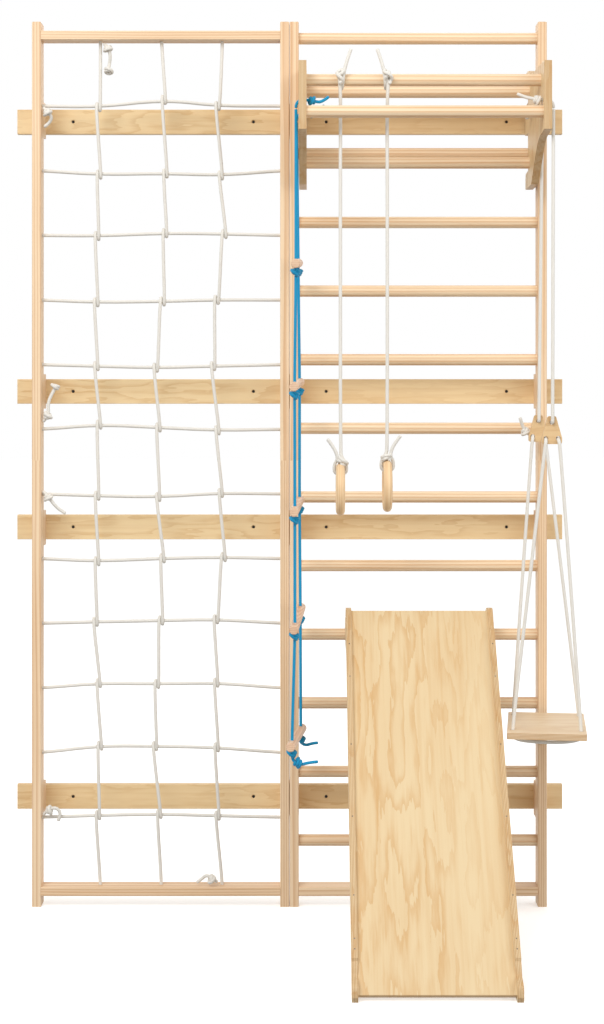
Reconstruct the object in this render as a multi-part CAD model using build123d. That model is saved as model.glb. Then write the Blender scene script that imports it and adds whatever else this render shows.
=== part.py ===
from build123d import *
import math
import os

# Wall-mounted climbing set: a rope-net frame and a ladder frame side by side, a hook-on pull-up unit
# with rings, a swing and a rope ladder, and a hook-on slide.
# Millimetres, +Z up, +Y towards the wall, X across. The shapes are drawn with X = 0 between the two
# frames and Y = 0 on the posts' front faces, and save() moves them to the part's own origin.

ORIGIN_X = 15.45           # origin of the part, in the drawing's coordinates
ORIGIN_Y = -294.0

# Frames
POST_WIDTH = 22.0
POST_DEPTH = 50.0
POST_HEIGHT = 2152.0
POST_SPLIT_Z = 1085.0
POST_EDGE_R = 2.5
POST_TOP_CHAMFER = 1.8
NET_LEFT_X = -626.0        # outer side of the net frame's left post
NET_RIGHT_X = -22.5
LADDER_LEFT_X = 0.5
LADDER_RIGHT_X = 604.0
MID_Y = POST_DEPTH / 2     # the plane of the rungs and the net
RAIL_HEIGHT = 22.0
NET_TOP_RAIL_Z = 2108.0
BOTTOM_RAIL_Z = 26.0
DOWEL_D = 8.0
DOWEL_LENGTH = 50.0
DOWEL_YS = (13.0, 37.0)

# Rungs
RUNG_D = 28.0
RUNG_SOCKET = 14.0
RUNG_FIRST_Z = 156.6
RUNG_PITCH = 167.7
TOP_RUNG_Z = 2115.0
RUNG_ZS = [RUNG_FIRST_Z + RUNG_PITCH * i for i in range(12)] + [TOP_RUNG_Z]

# Wall boards
BOARD_ZS = (249.0, 917.0, 1253.0, 1921.0)
BOARD_HEIGHT = 61.0
BOARD_THICK = 18.0
BOARD_FRONT_Y = 85.0
BOARD_BACK_Y = BOARD_FRONT_Y + BOARD_THICK
BOARD_END_X = 675.0
WALL_HOLE_XS = (90.0, 537.0)
WALL_HOLE_R = 3.0
WALL_HOLE_SINK_R = 5.5
BLOCK_HEIGHT = 85.0
SCREW_R = 2.5
SCREW_HEAD_R = 5.0
SCREW_TIP_Y = 24.0

# Net
ROPE_D = 8.0
ROPE_HOLE_R = 4.6
UPRIGHT_XS = (-462.0, -313.0, -164.0)
CROSS_FIRST_Z = 212.5
CROSS_PITCH = 158.0
WRAP = 8.6                 # from a cross rope's middle to the middle of the rope wrapped round it
# Where each upright rope wraps each cross rope, (x, z), one row per cross rope from the top down.
NET_KNOTS = [
    [(-467, 1948), (-307, 1966), (-176, 1951)],
    [(-465, 1783), (-303, 1786), (-168, 1781)],
    [(-470, 1633), (-304, 1640), (-159, 1638)],
    [(-472, 1471), (-310, 1473), (-178, 1477)],
    [(-472, 1315), (-327, 1311), (-187, 1315)],
    [(-465, 1172), (-320, 1165), (-176, 1158)],
    [(-470, 998), (-321, 995), (-168, 1005)],
    [(-470, 838), (-310, 845), (-161, 848)],
    [(-474, 690), (-314, 693), (-180, 696)],
    [(-466, 540), (-324, 538), (-179, 541)],
    [(-463, 387), (-329, 386), (-178, 383)],
    [(-468, 217), (-318, 220), (-176, 216)],
]

# Pull-up unit
PLATE_THICK = 18.0
PLATE_LEFT_X = 24.0        # outer side of the left plate
PLATE_RIGHT_X = 599.0      # outer side of the right plate
PLATE_FRONT_Y = -292.0
PLATE_BACK_Y = 76.0
HOOK_R = 14.6
BAR_SOCKET = 11.0
BAR_D = 28.0
FRONT_UPPER_BAR = (-225.0, 1970.0)
FRONT_LOWER_BAR = (-273.0, 1890.0)
BACK_UPPER_BAR = (-10.0, 1978.5)
BACK_LOWER_BAR = (-10.0, 1807.0)
CORD_YS = (-262.0, -66.0)  # front and back rope on each side of the unit
CORD_HOLE_Z = 1918.0
CORD_HOLE_R = 4.9
CORD_DROP = 18.0           # from the hole down to where the rope hangs freely
CORD_GAP = 3.0             # room for a hanging rope to turn below its knotted end

# Rings
RING_XS = (120.0, 228.0)
RING_TOP_ZS = (1087.0, 1095.0)
RING_OUTER_D = 120.0
RING_ROD_D = 20.5
BAR_WRAP = 18.6            # from the bar's middle to the middle of the rope round it
RING_WRAP = 15.0

# Swing
SWING_X = 606.0
SEAT_SIZE = (180.0, 270.0, 15.0)
SEAT_CENTRE = (602.0, -170.0)
SEAT_TOP_Z = 479.0
SEAT_YAW = -7.0
SEAT_HOLE = (78.0, 96.0)
SEAT_CORNER_R = 5.0
SEAT_EDGE_R = 1.5
SEAT_ROPE_ABOVE = 4.0      # where a rope turns straight down into its hole
SEAT_ROPE_BELOW = 12.0     # from the seat's underside to the rope that runs below it
SEAT_TAIL = [(-29.0, -6.0, 45.0), (-24.0, 0.0, 29.0), (-15.0, 4.0, 12.0)]
ADJUSTER_WIDTH = 46.0
ADJUSTER_HEIGHT = 64.0
ADJUSTER_THICK = 12.0
ADJUSTER_HOLE_R = 5.3
ADJUSTER_THROUGH = 26.0        # a rope's run from in front of its adjuster to behind it
ADJUSTER_TOP_Z = 1196.0
ADJUSTER_XS = (604.0, 598.0)   # front and back adjuster
ADJUSTER_SHIFT_Y = 14.0        # the rope runs down in front of its adjuster

# Rope ladder
BLUE_ROPE_D = 7.0
LADDER_ROPE_X = 18.0
STEP_D = 21.0
STEP_OVERHANG = 36.0
STEP_HOLE_R = 3.9
STEP_FRONTS = ((18.0, 1545.0), (15.0, 1264.5), (15.5, 980.5), (15.5, 714.5), (9.0, 445.5))  # (x, z)
STEP_BACKS = ((22.0, 1560.0), (25.0, 1273.5), (25.0, 990.5), (27.0, 729.5), (28.0, 441.5))
KNOT_R = 9.5
KNOT_EASE = 5.5

# Slide
SLIDE_LEFT_X = 136.0
SLIDE_WIDTH = 352.0
SLIDE_RAIL = 13.0
SLIDE_BOARD_THICK = 12.0
SLIDE_FOOT = (-682.0, 14.0)    # lower end of the sliding surface, (y, z)
SLIDE_HEAD = (-50.0, 727.0)    # upper end of the sliding surface
SLIDE_LIP = 12.0
SLIDE_RUNG_Z = RUNG_ZS[3]
BATTEN_SIZE = (34.0, 20.0)
BATTEN_PLACES = (110.0, 470.0, 815.0)
PIN_PLACES = (95.0, 118.0, 215.0, 400.0, 580.0, 760.0, 850.0)
PIN_R = 1.6
PIN_LENGTH = 18.0


def save(shape, name):
    """Moves a piece to the part's origin and writes it to its own file."""
    solids = [Pos(-ORIGIN_X, -ORIGIN_Y, 0) * solid for solid in shape.solids()]
    moved = solids[0] if len(solids) == 1 else Compound(children=solids)
    export_step(moved, f"parts/{name}.step")


def block(x, y, z):
    """A box between two limits on each axis."""
    size = (x[1] - x[0], y[1] - y[0], z[1] - z[0])
    return Pos(x[0], y[0], z[0]) * Box(*size, align=(Align.MIN, Align.MIN, Align.MIN))


def rod_x(x0, x1, y, z, radius):
    """A round bar along X."""
    turned = Rot(0, 90, 0) * Cylinder(radius, x1 - x0, align=(Align.CENTER, Align.CENTER, Align.MIN))
    return Pos(x0, y, z) * turned


def rod_y(y0, y1, x, z, radius):
    """A round bar along Y."""
    turned = Rot(-90, 0, 0) * Cylinder(radius, y1 - y0, align=(Align.CENTER, Align.CENTER, Align.MIN))
    return Pos(x, y0, z) * turned


def rod_z(z0, z1, x, y, radius):
    """A round bar along Z."""
    return Pos(x, y, z0) * Cylinder(radius, z1 - z0, align=(Align.CENTER, Align.CENTER, Align.MIN))


def rope(points, diameter, name="", reach=None):
    """A rope: straight runs joined by tangent arcs as large as the runs allow, or reach long at most."""
    route = [Vector(*point) for point in points]
    runs = [(b - a).length for a, b in zip(route, route[1:])]
    radii = []
    for i in range(1, len(route) - 1):
        turn = (route[i] - route[i - 1]).get_angle(route[i + 1] - route[i])
        shorter = 0.45 * min(runs[i - 1], runs[i])
        tangent = shorter if reach is None else min(shorter, reach)
        radii.append(tangent / math.tan(math.radians(turn / 2)))
    path = FilletPolyline(*route, radius=radii) if radii else Line(*route)
    section = Plane(origin=path @ 0, z_dir=path % 0) * Circle(diameter / 2)
    tube = sweep(section, path=path)
    if name:
        expected = math.pi * diameter ** 2 / 4 * path.length
        tightest = min(radii, default=0)
        print(f"{name}: length {path.length:.0f}, tightest radius {tightest:.1f}, "
              f"volume {tube.volume / expected:.4f} of section times length")
    return tube


# Frames


def screw_places():
    """The middle of every screw through a wall board and a block into a post, (x, z)."""
    lefts = (NET_LEFT_X, NET_RIGHT_X, LADDER_LEFT_X, LADDER_RIGHT_X)
    return [(left + POST_WIDTH / 2, z) for left in lefts for z in BOARD_ZS]


def frame_screw(x, z):
    """A countersunk screw from the back of a wall board into the post."""
    head_y = BOARD_BACK_Y - 1
    shank = rod_y(SCREW_TIP_Y, head_y, x, z, SCREW_R)
    cone = Cone(SCREW_R, SCREW_HEAD_R, 3, align=(Align.CENTER, Align.CENTER, Align.MIN))
    return shank + Pos(x, head_y - 3, z) * Rot(-90, 0, 0) * cone


def screw_hole(x, z):
    """The screw's own shape, with the recess that sinks its head."""
    return frame_screw(x, z) + rod_y(BOARD_BACK_Y - 1, BOARD_BACK_Y, x, z, SCREW_HEAD_R)


def dowel(x, y):
    """A round dowel across the joint between a post's halves."""
    return rod_z(POST_SPLIT_Z - DOWEL_LENGTH / 2, POST_SPLIT_Z + DOWEL_LENGTH / 2, x, y, DOWEL_D / 2)


def post_holes(left, kind):
    """Everything drilled in one post."""
    middle = left + POST_WIDTH / 2
    holes = [dowel(middle, y) for y in DOWEL_YS]
    holes += [screw_hole(x, z) for x, z in screw_places() if abs(x - middle) < 1]
    if kind == "net":
        for i in range(len(NET_KNOTS)):
            z = CROSS_FIRST_Z + CROSS_PITCH * i
            holes.append(rod_x(left - 1, left + POST_WIDTH + 1, MID_Y, z, ROPE_HOLE_R))
    else:
        x0 = LADDER_LEFT_X + POST_WIDTH - RUNG_SOCKET
        x1 = LADDER_RIGHT_X + RUNG_SOCKET
        holes += [rod_x(x0, x1, MID_Y, z, RUNG_D / 2) for z in RUNG_ZS]
    return holes


def post_half(left, z0, z1, holes):
    """One half of a post, with eased edges."""
    half = block((left, left + POST_WIDTH), (0, POST_DEPTH), (z0, z1))
    half = fillet(half.edges().filter_by(Axis.Z), POST_EDGE_R)
    if z1 == POST_HEIGHT:
        half = chamfer(half.faces().sort_by(Axis.Z)[-1].edges(), POST_TOP_CHAMFER)
    for hole in holes:
        half -= hole
    return half


def save_post(left, kind, name):
    """Both halves of one post."""
    holes = post_holes(left, kind)
    low = [hole for hole in holes if hole.bounding_box().min.Z < POST_SPLIT_Z]
    high = [hole for hole in holes if hole.bounding_box().max.Z > POST_SPLIT_Z]
    save(post_half(left, 0, POST_SPLIT_Z, low), name + "_lower")
    save(post_half(left, POST_SPLIT_Z, POST_HEIGHT, high), name + "_upper")


def cross_rail(x0, x1, z0, hole_xs=()):
    """A rail between two posts, with its long edges eased and holes for upright ropes."""
    rail = block((x0, x1), (0, POST_DEPTH), (z0, z0 + RAIL_HEIGHT))
    rail = fillet(rail.edges().filter_by(Axis.X), POST_EDGE_R)
    for x in hole_xs:
        rail -= rod_z(z0 - 1, z0 + RAIL_HEIGHT + 1, x, MID_Y, ROPE_HOLE_R)
    return rail


def wall_board(side, z):
    """A board that is screwed to the wall, side -1 behind the net and +1 behind the ladder."""
    x0, x1 = sorted((side * 0.5, side * BOARD_END_X))
    low, high = z - BOARD_HEIGHT / 2, z + BOARD_HEIGHT / 2
    board = block((x0, x1), (BOARD_FRONT_Y, BOARD_BACK_Y), (low, high))
    board = fillet(board.edges().filter_by(Axis.X), 1.5)
    for distance in WALL_HOLE_XS:
        x = side * distance
        board -= rod_y(BOARD_FRONT_Y - 1, BOARD_BACK_Y + 1, x, z, WALL_HOLE_R)
        sink = Cone(WALL_HOLE_SINK_R, WALL_HOLE_R, 3, align=(Align.CENTER, Align.CENTER, Align.MIN))
        board -= Pos(x, BOARD_FRONT_Y, z) * Rot(-90, 0, 0) * sink
    for x, screw_z in screw_places():
        if screw_z == z and x0 < x < x1:
            board -= screw_hole(x, z)
    return board


def spacer_block(x, z):
    """The block between a post and a wall board."""
    width, height = POST_WIDTH / 2, BLOCK_HEIGHT / 2
    spacer = block((x - width, x + width), (POST_DEPTH, BOARD_FRONT_Y), (z - height, z + height))
    return spacer - screw_hole(x, z)


def save_frames():
    """Posts, rails, rungs, boards, blocks, dowels and screws."""
    for left, kind, name in (
        (NET_LEFT_X, "net", "net_post_left"),
        (NET_RIGHT_X, "net", "net_post_right"),
        (LADDER_LEFT_X, "ladder", "ladder_post_left"),
        (LADDER_RIGHT_X, "ladder", "ladder_post_right"),
    ):
        save_post(left, kind, name)
    net_x0, net_x1 = NET_LEFT_X + POST_WIDTH, NET_RIGHT_X
    save(cross_rail(net_x0, net_x1, NET_TOP_RAIL_Z, UPRIGHT_XS), "net_top_rail")
    save(cross_rail(net_x0, net_x1, BOTTOM_RAIL_Z, UPRIGHT_XS), "net_bottom_rail")
    ladder_x0, ladder_x1 = LADDER_LEFT_X + POST_WIDTH, LADDER_RIGHT_X
    save(cross_rail(ladder_x0, ladder_x1, BOTTOM_RAIL_Z), "ladder_bottom_rail")
    for number, z in enumerate(RUNG_ZS, 1):
        rung = rod_x(ladder_x0 - RUNG_SOCKET, ladder_x1 + RUNG_SOCKET, MID_Y, z, RUNG_D / 2)
        save(rung, f"rung_{number:02d}")
    for level, z in enumerate(BOARD_ZS, 1):
        save(wall_board(-1, z), f"wall_board_net_{level}")
        save(wall_board(1, z), f"wall_board_ladder_{level}")
    places = screw_places()
    save(Compound(children=[spacer_block(x, z) for x, z in places]), "spacer_blocks")
    save(Compound(children=[frame_screw(x, z) for x, z in places]), "frame_screws")
    middles = sorted({x for x, z in places})
    save(Compound(children=[dowel(x, y) for x in middles for y in DOWEL_YS]), "post_dowels")


# Net


def upright_route(column):
    """An upright rope: through both rails, and once round every cross rope on its way down."""
    x = UPRIGHT_XS[column]
    route = [(x, MID_Y, NET_TOP_RAIL_Z + RAIL_HEIGHT - 2), (x, MID_Y, NET_TOP_RAIL_Z - 5)]
    for row in NET_KNOTS:
        knot_x, knot_z = row[column]
        route += [
            (knot_x + 5.5, MID_Y - WRAP, knot_z - WRAP),
            (knot_x + 2, MID_Y + WRAP, knot_z - WRAP),
            (knot_x - 2, MID_Y + WRAP, knot_z + WRAP),
            (knot_x - 5.5, MID_Y - WRAP, knot_z + WRAP),
        ]
    route += [(x, MID_Y, BOTTOM_RAIL_Z + RAIL_HEIGHT + 5), (x, MID_Y, BOTTOM_RAIL_Z + 2)]
    return route


def cross_route(row):
    """A cross rope, from inside one post through the wraps to inside the other."""
    z = CROSS_FIRST_Z + CROSS_PITCH * (len(NET_KNOTS) - 1 - row)
    x0, x1 = NET_LEFT_X + POST_WIDTH, NET_RIGHT_X
    knots = [(x, MID_Y, knot_z) for x, knot_z in NET_KNOTS[row]]
    return [(x0 - 18, MID_Y, z), (x0 + 3, MID_Y, z), *knots, (x1 - 3, MID_Y, z), (x1 + 18, MID_Y, z)]


# Tie-offs of the net's rope: a loop or tail at the frame, each one a short free end.
TIE_OFFS = [
    [(-452, 16, 2100), (-438, 8, 2090), (-428, 12, 2066), (-440, 20, 2044), (-452, 12, 2036)],
    [(-600, 12, 1944), (-588, 8, 1934), (-578, 12, 1920), (-588, 18, 1906), (-598, 14, 1898)],
    [(-600, 12, 1180), (-586, 8, 1196), (-590, 8, 1224), (-576, 12, 1244), (-560, 16, 1262)],
    [(-600, 12, 1010), (-586, 8, 996), (-574, 10, 978), (-560, 16, 964), (-546, 14, 956)],
    [(-600, 12, 222), (-586, 8, 236), (-568, 10, 240), (-556, 14, 224), (-564, 14, 206)],
    [(-176, 12, 58), (-188, 8, 66), (-202, 10, 76), (-214, 16, 64), (-226, 14, 56)],
]


def save_net():
    """The upright ropes, the cross ropes and the tie-offs."""
    uprights = [rope(upright_route(i), ROPE_D, f"upright rope {i + 1}") for i in range(3)]
    save(Compound(children=uprights), "net_upright_ropes")
    rows = range(len(NET_KNOTS))
    crosses = [rope(cross_route(i), ROPE_D, f"cross rope {i + 1}", reach=9) for i in rows]
    save(Compound(children=crosses), "net_cross_ropes")
    ends = [rope(route, ROPE_D, f"tie-off {i}") for i, route in enumerate(TIE_OFFS, 1)]
    save(Compound(children=ends), "net_tie_offs")


# Pull-up unit


def plate_outline():
    """Side plate: hooks over one rung, open to the back round the rung below it."""
    upper_rung, lower_rung = RUNG_ZS[11], RUNG_ZS[10]
    front_wall = MID_Y - HOOK_R
    back_wall = MID_Y + HOOK_R
    lower_tip = (-52, 1750)
    upper_bend = (-230, 1844)
    with BuildSketch(Plane.YZ) as outline:
        with BuildLine():
            Polyline((PLATE_FRONT_Y, 1848), (PLATE_FRONT_Y, 2004), (-60, 2012))
            Spline((-60, 2012), (-22, 2023), (8, 2033), tangents=[(1, 0.05), (1, 0.1)])
            Line((8, 2033), (62, 2033))
            RadiusArc((62, 2033), (PLATE_BACK_Y, 2019), 14)
            Polyline((PLATE_BACK_Y, 2019), (PLATE_BACK_Y, 1994), (back_wall, 1991), (back_wall, upper_rung))
            ThreePointArc(
                (back_wall, upper_rung), (MID_Y, upper_rung + HOOK_R), (front_wall, upper_rung)
            )
            Polyline(
                (front_wall, upper_rung), (front_wall, 1957), (62, 1955), (PLATE_BACK_Y, 1942),
                (PLATE_BACK_Y, 1890), (70, 1884), (front_wall, lower_rung + 48), (front_wall, 1790),
                (56, 1788), (62, 1780), (62, 1750), lower_tip,
            )
            Spline(lower_tip, (-122, 1800), upper_bend, tangents=[(-0.6, 0.5), (-1, 0.02)])
            Line(upper_bend, (PLATE_FRONT_Y, 1848))
        make_face()
    return outline.sketch


def side_plate(inner_x, outer_x):
    """One side plate, with blind sockets for the bars and two rope holes."""
    x0, x1 = sorted((inner_x, outer_x))
    plate = Pos(x0, 0, 0) * extrude(plate_outline(), x1 - x0, dir=(1, 0, 0))
    inward = 1 if inner_x > outer_x else -1
    for y, z in (FRONT_UPPER_BAR, FRONT_LOWER_BAR, BACK_UPPER_BAR, BACK_LOWER_BAR):
        socket = sorted((inner_x - inward * BAR_SOCKET, inner_x + inward))
        plate -= rod_x(*socket, y, z, BAR_D / 2)
    for y in CORD_YS:
        plate -= rod_x(x0 - 1, x1 + 1, y, CORD_HOLE_Z, CORD_HOLE_R)
    return plate


def barrel_knot(barrel):
    """A knot drawn tight, from the round bar that it fills."""
    return fillet(barrel.edges().filter_by(GeomType.CIRCLE), KNOT_EASE)


def plate_rope_end(side, y, diameter, tail):
    """The end of a hanging rope: tail, knot inside the plate, and the bend down outside it."""
    if side > 0:
        inner_x, hang_x = PLATE_RIGHT_X - PLATE_THICK, SWING_X
    else:
        inner_x, hang_x = PLATE_LEFT_X + PLATE_THICK, LADDER_ROPE_X
    z = CORD_HOLE_Z
    knot_x = inner_x - side * (KNOT_R + 0.5)
    route = [(knot_x - side * dx, y + dy, z + dz) for dx, dy, dz in tail]
    route += [(knot_x, y, z), (hang_x, y, z), (hang_x, y, z - CORD_DROP)]
    knot = barrel_knot(rod_x(knot_x - KNOT_R, knot_x + KNOT_R, y, z, KNOT_R))
    return knot + rope(route, diameter, "plate rope end")


def hanging_start(x, y):
    """The top of a freely hanging rope, where it turns."""
    return x, y, CORD_HOLE_Z - CORD_DROP - CORD_GAP


WHITE_TAILS = [
    [(47, 6, 15), (30, 8, 8), (12, 3, 4)],
    [(36, -10, 3), (23, -7, -2), (11, -3, 2)],
]
BLUE_TAILS = [
    [(34, 8, 19), (21, 7, 9), (10, 3, 3)],
    [(32, 12, 21), (21, 8, 12), (10, 3, 4)],
]


def save_unit():
    """Plates, bars and the rope ends that are knotted in the plates."""
    left_inner = PLATE_LEFT_X + PLATE_THICK
    right_inner = PLATE_RIGHT_X - PLATE_THICK
    save(side_plate(left_inner, PLATE_LEFT_X), "unit_plate_left")
    save(side_plate(right_inner, PLATE_RIGHT_X), "unit_plate_right")
    for name, (y, z) in (
        ("unit_bar_front_upper", FRONT_UPPER_BAR),
        ("unit_bar_front_lower", FRONT_LOWER_BAR),
        ("unit_bar_back_upper", BACK_UPPER_BAR),
        ("unit_bar_back_lower", BACK_LOWER_BAR),
    ):
        save(rod_x(left_inner - BAR_SOCKET, right_inner + BAR_SOCKET, y, z, BAR_D / 2), name)
    whites = [plate_rope_end(1, y, ROPE_D, tail) for y, tail in zip(CORD_YS, WHITE_TAILS)]
    save(Compound(children=whites), "unit_rope_ends_white")
    blues = [plate_rope_end(-1, y, BLUE_ROPE_D, tail) for y, tail in zip(CORD_YS, BLUE_TAILS)]
    save(Compound(children=blues), "unit_rope_ends_blue")


# Rings


def ring(x, top_z):
    """A gymnastic ring, hanging in the Y-Z plane."""
    major = (RING_OUTER_D - RING_ROD_D) / 2
    return Pos(x, FRONT_UPPER_BAR[0], top_z - RING_OUTER_D / 2) * Rot(0, 90, 0) * Torus(major, RING_ROD_D / 2)


def ring_rope_route(x, top_z, lean):
    """Tail, one turn round the bar, the hanging run, one turn round the ring, and a short tail."""
    y, bar_z = FRONT_UPPER_BAR
    rod_z0 = top_z - RING_ROD_D / 2
    return [
        (x + lean * 24, y - 20, bar_z + 68),
        (x + lean * 16, y - 22, bar_z + 24),
        (x + lean * 10, y - BAR_WRAP, bar_z - BAR_WRAP),
        (x + lean * 5, y + BAR_WRAP, bar_z - BAR_WRAP),
        (x - lean * 3, y + BAR_WRAP, bar_z + BAR_WRAP),
        (x - lean * 7, y - BAR_WRAP, bar_z + BAR_WRAP),
        (x, y - BAR_WRAP, bar_z - 30),
        (x, y - 4, bar_z - 90),
        (x, y - 4, top_z + 60),
        (x + lean * RING_WRAP, y - 3, top_z + 14),
        (x + lean * RING_WRAP, y, rod_z0 - RING_WRAP),
        (x - lean * RING_WRAP, y, rod_z0 - RING_WRAP),
        (x - lean * RING_WRAP, y - 3, top_z + 12),
        (x - lean * 24, y - 12, top_z + 34),
        (x - lean * 34, y - 16, top_z + 54),
    ]


def save_rings():
    """Both rings and their ropes."""
    for name, x, top_z, lean, in (
        ("left", RING_XS[0], RING_TOP_ZS[0], 1),
        ("right", RING_XS[1], RING_TOP_ZS[1], -1),
    ):
        save(ring(x, top_z), f"ring_{name}")
        route = ring_rope_route(x, top_z, lean)
        save(rope(route, ROPE_D, f"ring rope {name}"), f"ring_rope_{name}")


# Swing


def seat_place(x, y):
    """A place on the seat, from its own axes to the drawing's."""
    turn = math.radians(SEAT_YAW)
    across = x * math.cos(turn) - y * math.sin(turn)
    along = x * math.sin(turn) + y * math.cos(turn)
    return SEAT_CENTRE[0] + across, SEAT_CENTRE[1] + along


def seat():
    """The plywood seat, round at its corners, with four rope holes."""
    width, length, thick = SEAT_SIZE
    board = Box(width, length, thick, align=(Align.CENTER, Align.CENTER, Align.MAX))
    board = fillet(board.edges().filter_by(Axis.Z), SEAT_CORNER_R)
    board = fillet(board.faces().sort_by(Axis.Z)[-1].edges(), SEAT_EDGE_R)
    board = Pos(*SEAT_CENTRE, SEAT_TOP_Z) * Rot(0, 0, SEAT_YAW) * board
    for sx in (-1, 1):
        for sy in (-1, 1):
            x, y = seat_place(sx * SEAT_HOLE[0], sy * SEAT_HOLE[1])
            board -= rod_z(SEAT_TOP_Z - thick - 1, SEAT_TOP_Z + 1, x, y, ROPE_HOLE_R + 0.6)
    return board


def adjuster(x, rope_y):
    """A triangular rope adjuster with one hole at its top and one at each lower corner."""
    half, low = ADJUSTER_WIDTH / 2, ADJUSTER_TOP_Z - ADJUSTER_HEIGHT
    y = rope_y + ADJUSTER_SHIFT_Y
    with BuildSketch(Plane.XZ) as outline:
        with BuildLine():
            Polyline(
                (-9, ADJUSTER_TOP_Z), (9, ADJUSTER_TOP_Z), (half, low + 14), (half, low),
                (-half, low), (-half, low + 14), (-9, ADJUSTER_TOP_Z),
            )
        make_face()
        fillet(outline.vertices(), 5)
    plate = Pos(x, y + ADJUSTER_THICK / 2, 0) * extrude(outline.sketch, ADJUSTER_THICK)
    for hole_x, hole_z in ((0, ADJUSTER_TOP_Z - 14), (-14, low + 13), (14, low + 13)):
        plate -= rod_y(y - 20, y + 20, x + hole_x, hole_z, ADJUSTER_HOLE_R)
    return plate


def hanger_route(start, adjuster_x):
    """Straight down, then back through the adjuster's top hole."""
    y, hole_z = start[1], ADJUSTER_TOP_Z - 14
    return [start, (adjuster_x, y, hole_z), (adjuster_x, y + ADJUSTER_THROUGH, hole_z)]


def seat_rope_route(x, y, row):
    """From a knotted tail through one lower corner of the adjuster, round the seat and back."""
    low_z = ADJUSTER_TOP_Z - ADJUSTER_HEIGHT + 13
    left_x, left_y = seat_place(-SEAT_HOLE[0], row * SEAT_HOLE[1])
    right_x, right_y = seat_place(SEAT_HOLE[0], row * SEAT_HOLE[1])
    over_z = SEAT_TOP_Z + SEAT_ROPE_ABOVE
    under_z = SEAT_TOP_Z - SEAT_SIZE[2] - SEAT_ROPE_BELOW
    knot_y = y + ADJUSTER_THROUGH
    tail = [(x - 14 + dx, knot_y + dy, low_z + dz) for dx, dy, dz in SEAT_TAIL] if row > 0 else []
    return tail + [
        (x - 14, knot_y, low_z), (x - 14, y, low_z), (x - 18, y, low_z - 26),
        (left_x, left_y, over_z), (left_x, left_y, under_z),
        (right_x, right_y, under_z), (right_x, right_y, over_z),
        (x + 18, y, low_z - 26), (x + 14, y, low_z), (x + 14, y + ADJUSTER_THROUGH, low_z),
    ]


def save_swing():
    """Seat, adjusters and ropes of the swing."""
    save(seat(), "swing_seat")
    adjusters, ropes = [], []
    for i, (x, y) in enumerate(zip(ADJUSTER_XS, CORD_YS)):
        adjusters.append(adjuster(x, y))
        start = hanging_start(SWING_X, y)
        ropes.append(rope(hanger_route(start, x), ROPE_D, f"swing hanger {i + 1}"))
        ropes.append(rope(seat_rope_route(x, y, 2 * i - 1), ROPE_D, f"swing seat rope {i + 1}"))
    save(Compound(children=adjusters), "swing_adjusters")
    save(Compound(children=ropes), "swing_ropes")


# Rope ladder


def ladder_step(front, back):
    """A round step, drilled for both ropes, from its place on the front rope to the back one."""
    front, back = Vector(*front), Vector(*back)
    run = back - front
    unit = run.normalized()
    start = front - unit * STEP_OVERHANG
    length = run.length + 2 * STEP_OVERHANG
    step = Plane(origin=start, z_dir=unit) * Cylinder(
        STEP_D / 2, length, align=(Align.CENTER, Align.CENTER, Align.MIN)
    )
    step = chamfer(step.edges().filter_by(GeomType.CIRCLE), 1.5)
    for hole in (front, back):
        step -= rod_z(hole.Z - STEP_D, hole.Z + STEP_D, hole.X, hole.Y, STEP_HOLE_R)
    return step


def ladder_rope(y, places, tail):
    """One blue rope down through every step, with a knot under each one and a tail at its end."""
    route = [hanging_start(LADDER_ROPE_X, y)]
    for i, (x, z) in enumerate(places):
        route.append((x, y + 0.3 * (-1) ** i, z + STEP_D / 2 + 8))
        route.append((x, y, z - STEP_D / 2 - 14))
    last = Vector(*route[-1])
    route += [(last.X + dx, y + dy, last.Z + dz) for dx, dy, dz in tail]
    knotted = rope(route, BLUE_ROPE_D, "rope ladder rope")
    for x, z in places:
        top_z = z - STEP_D / 2 - 1
        knotted += barrel_knot(rod_z(top_z - 2 * KNOT_R, top_z, x, y, KNOT_R))
    return knotted


LADDER_TAILS = [
    [(3, -4, -12), (18, -8, -20), (38, -10, -14), (59, -10, -12)],
    [(3, 3, -8), (14, 5, -12), (28, 6, -7), (41, 5, -6)],
]


def save_rope_ladder():
    """Steps and ropes of the rope ladder."""
    front_y, back_y = CORD_YS
    steps = []
    for (front_x, front_z), (back_x, back_z) in zip(STEP_FRONTS, STEP_BACKS):
        steps.append(ladder_step((front_x, front_y, front_z), (back_x, back_y, back_z)))
    save(Compound(children=steps), "rope_ladder_steps")
    front = ladder_rope(front_y, STEP_FRONTS, LADDER_TAILS[0])
    back = ladder_rope(back_y, STEP_BACKS, LADDER_TAILS[1])
    save(Compound(children=[front, back]), "rope_ladder_ropes")


# Slide

SLOPE = math.atan2(SLIDE_HEAD[1] - SLIDE_FOOT[1], SLIDE_HEAD[0] - SLIDE_FOOT[0])
SLIDE_LENGTH = math.hypot(SLIDE_HEAD[1] - SLIDE_FOOT[1], SLIDE_HEAD[0] - SLIDE_FOOT[0])


def on_slope(along, above):
    """A place beside the sliding surface, (y, z), from its foot and above its surface."""
    y = SLIDE_FOOT[0] + along * math.cos(SLOPE) - above * math.sin(SLOPE)
    z = SLIDE_FOOT[1] + along * math.sin(SLOPE) + above * math.cos(SLOPE)
    return y, z


def slope_box(x, along, above):
    """A box that lies along the slope."""
    corners = [on_slope(s, h) for s, h in (
        (along[0], above[0]), (along[1], above[0]), (along[1], above[1]), (along[0], above[1]),
    )]
    with BuildSketch(Plane.YZ) as outline:
        with BuildLine():
            Polyline(*corners, corners[0])
        make_face()
    return Pos(x[0], 0, 0) * extrude(outline.sketch, x[1] - x[0], dir=(1, 0, 0))


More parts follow.
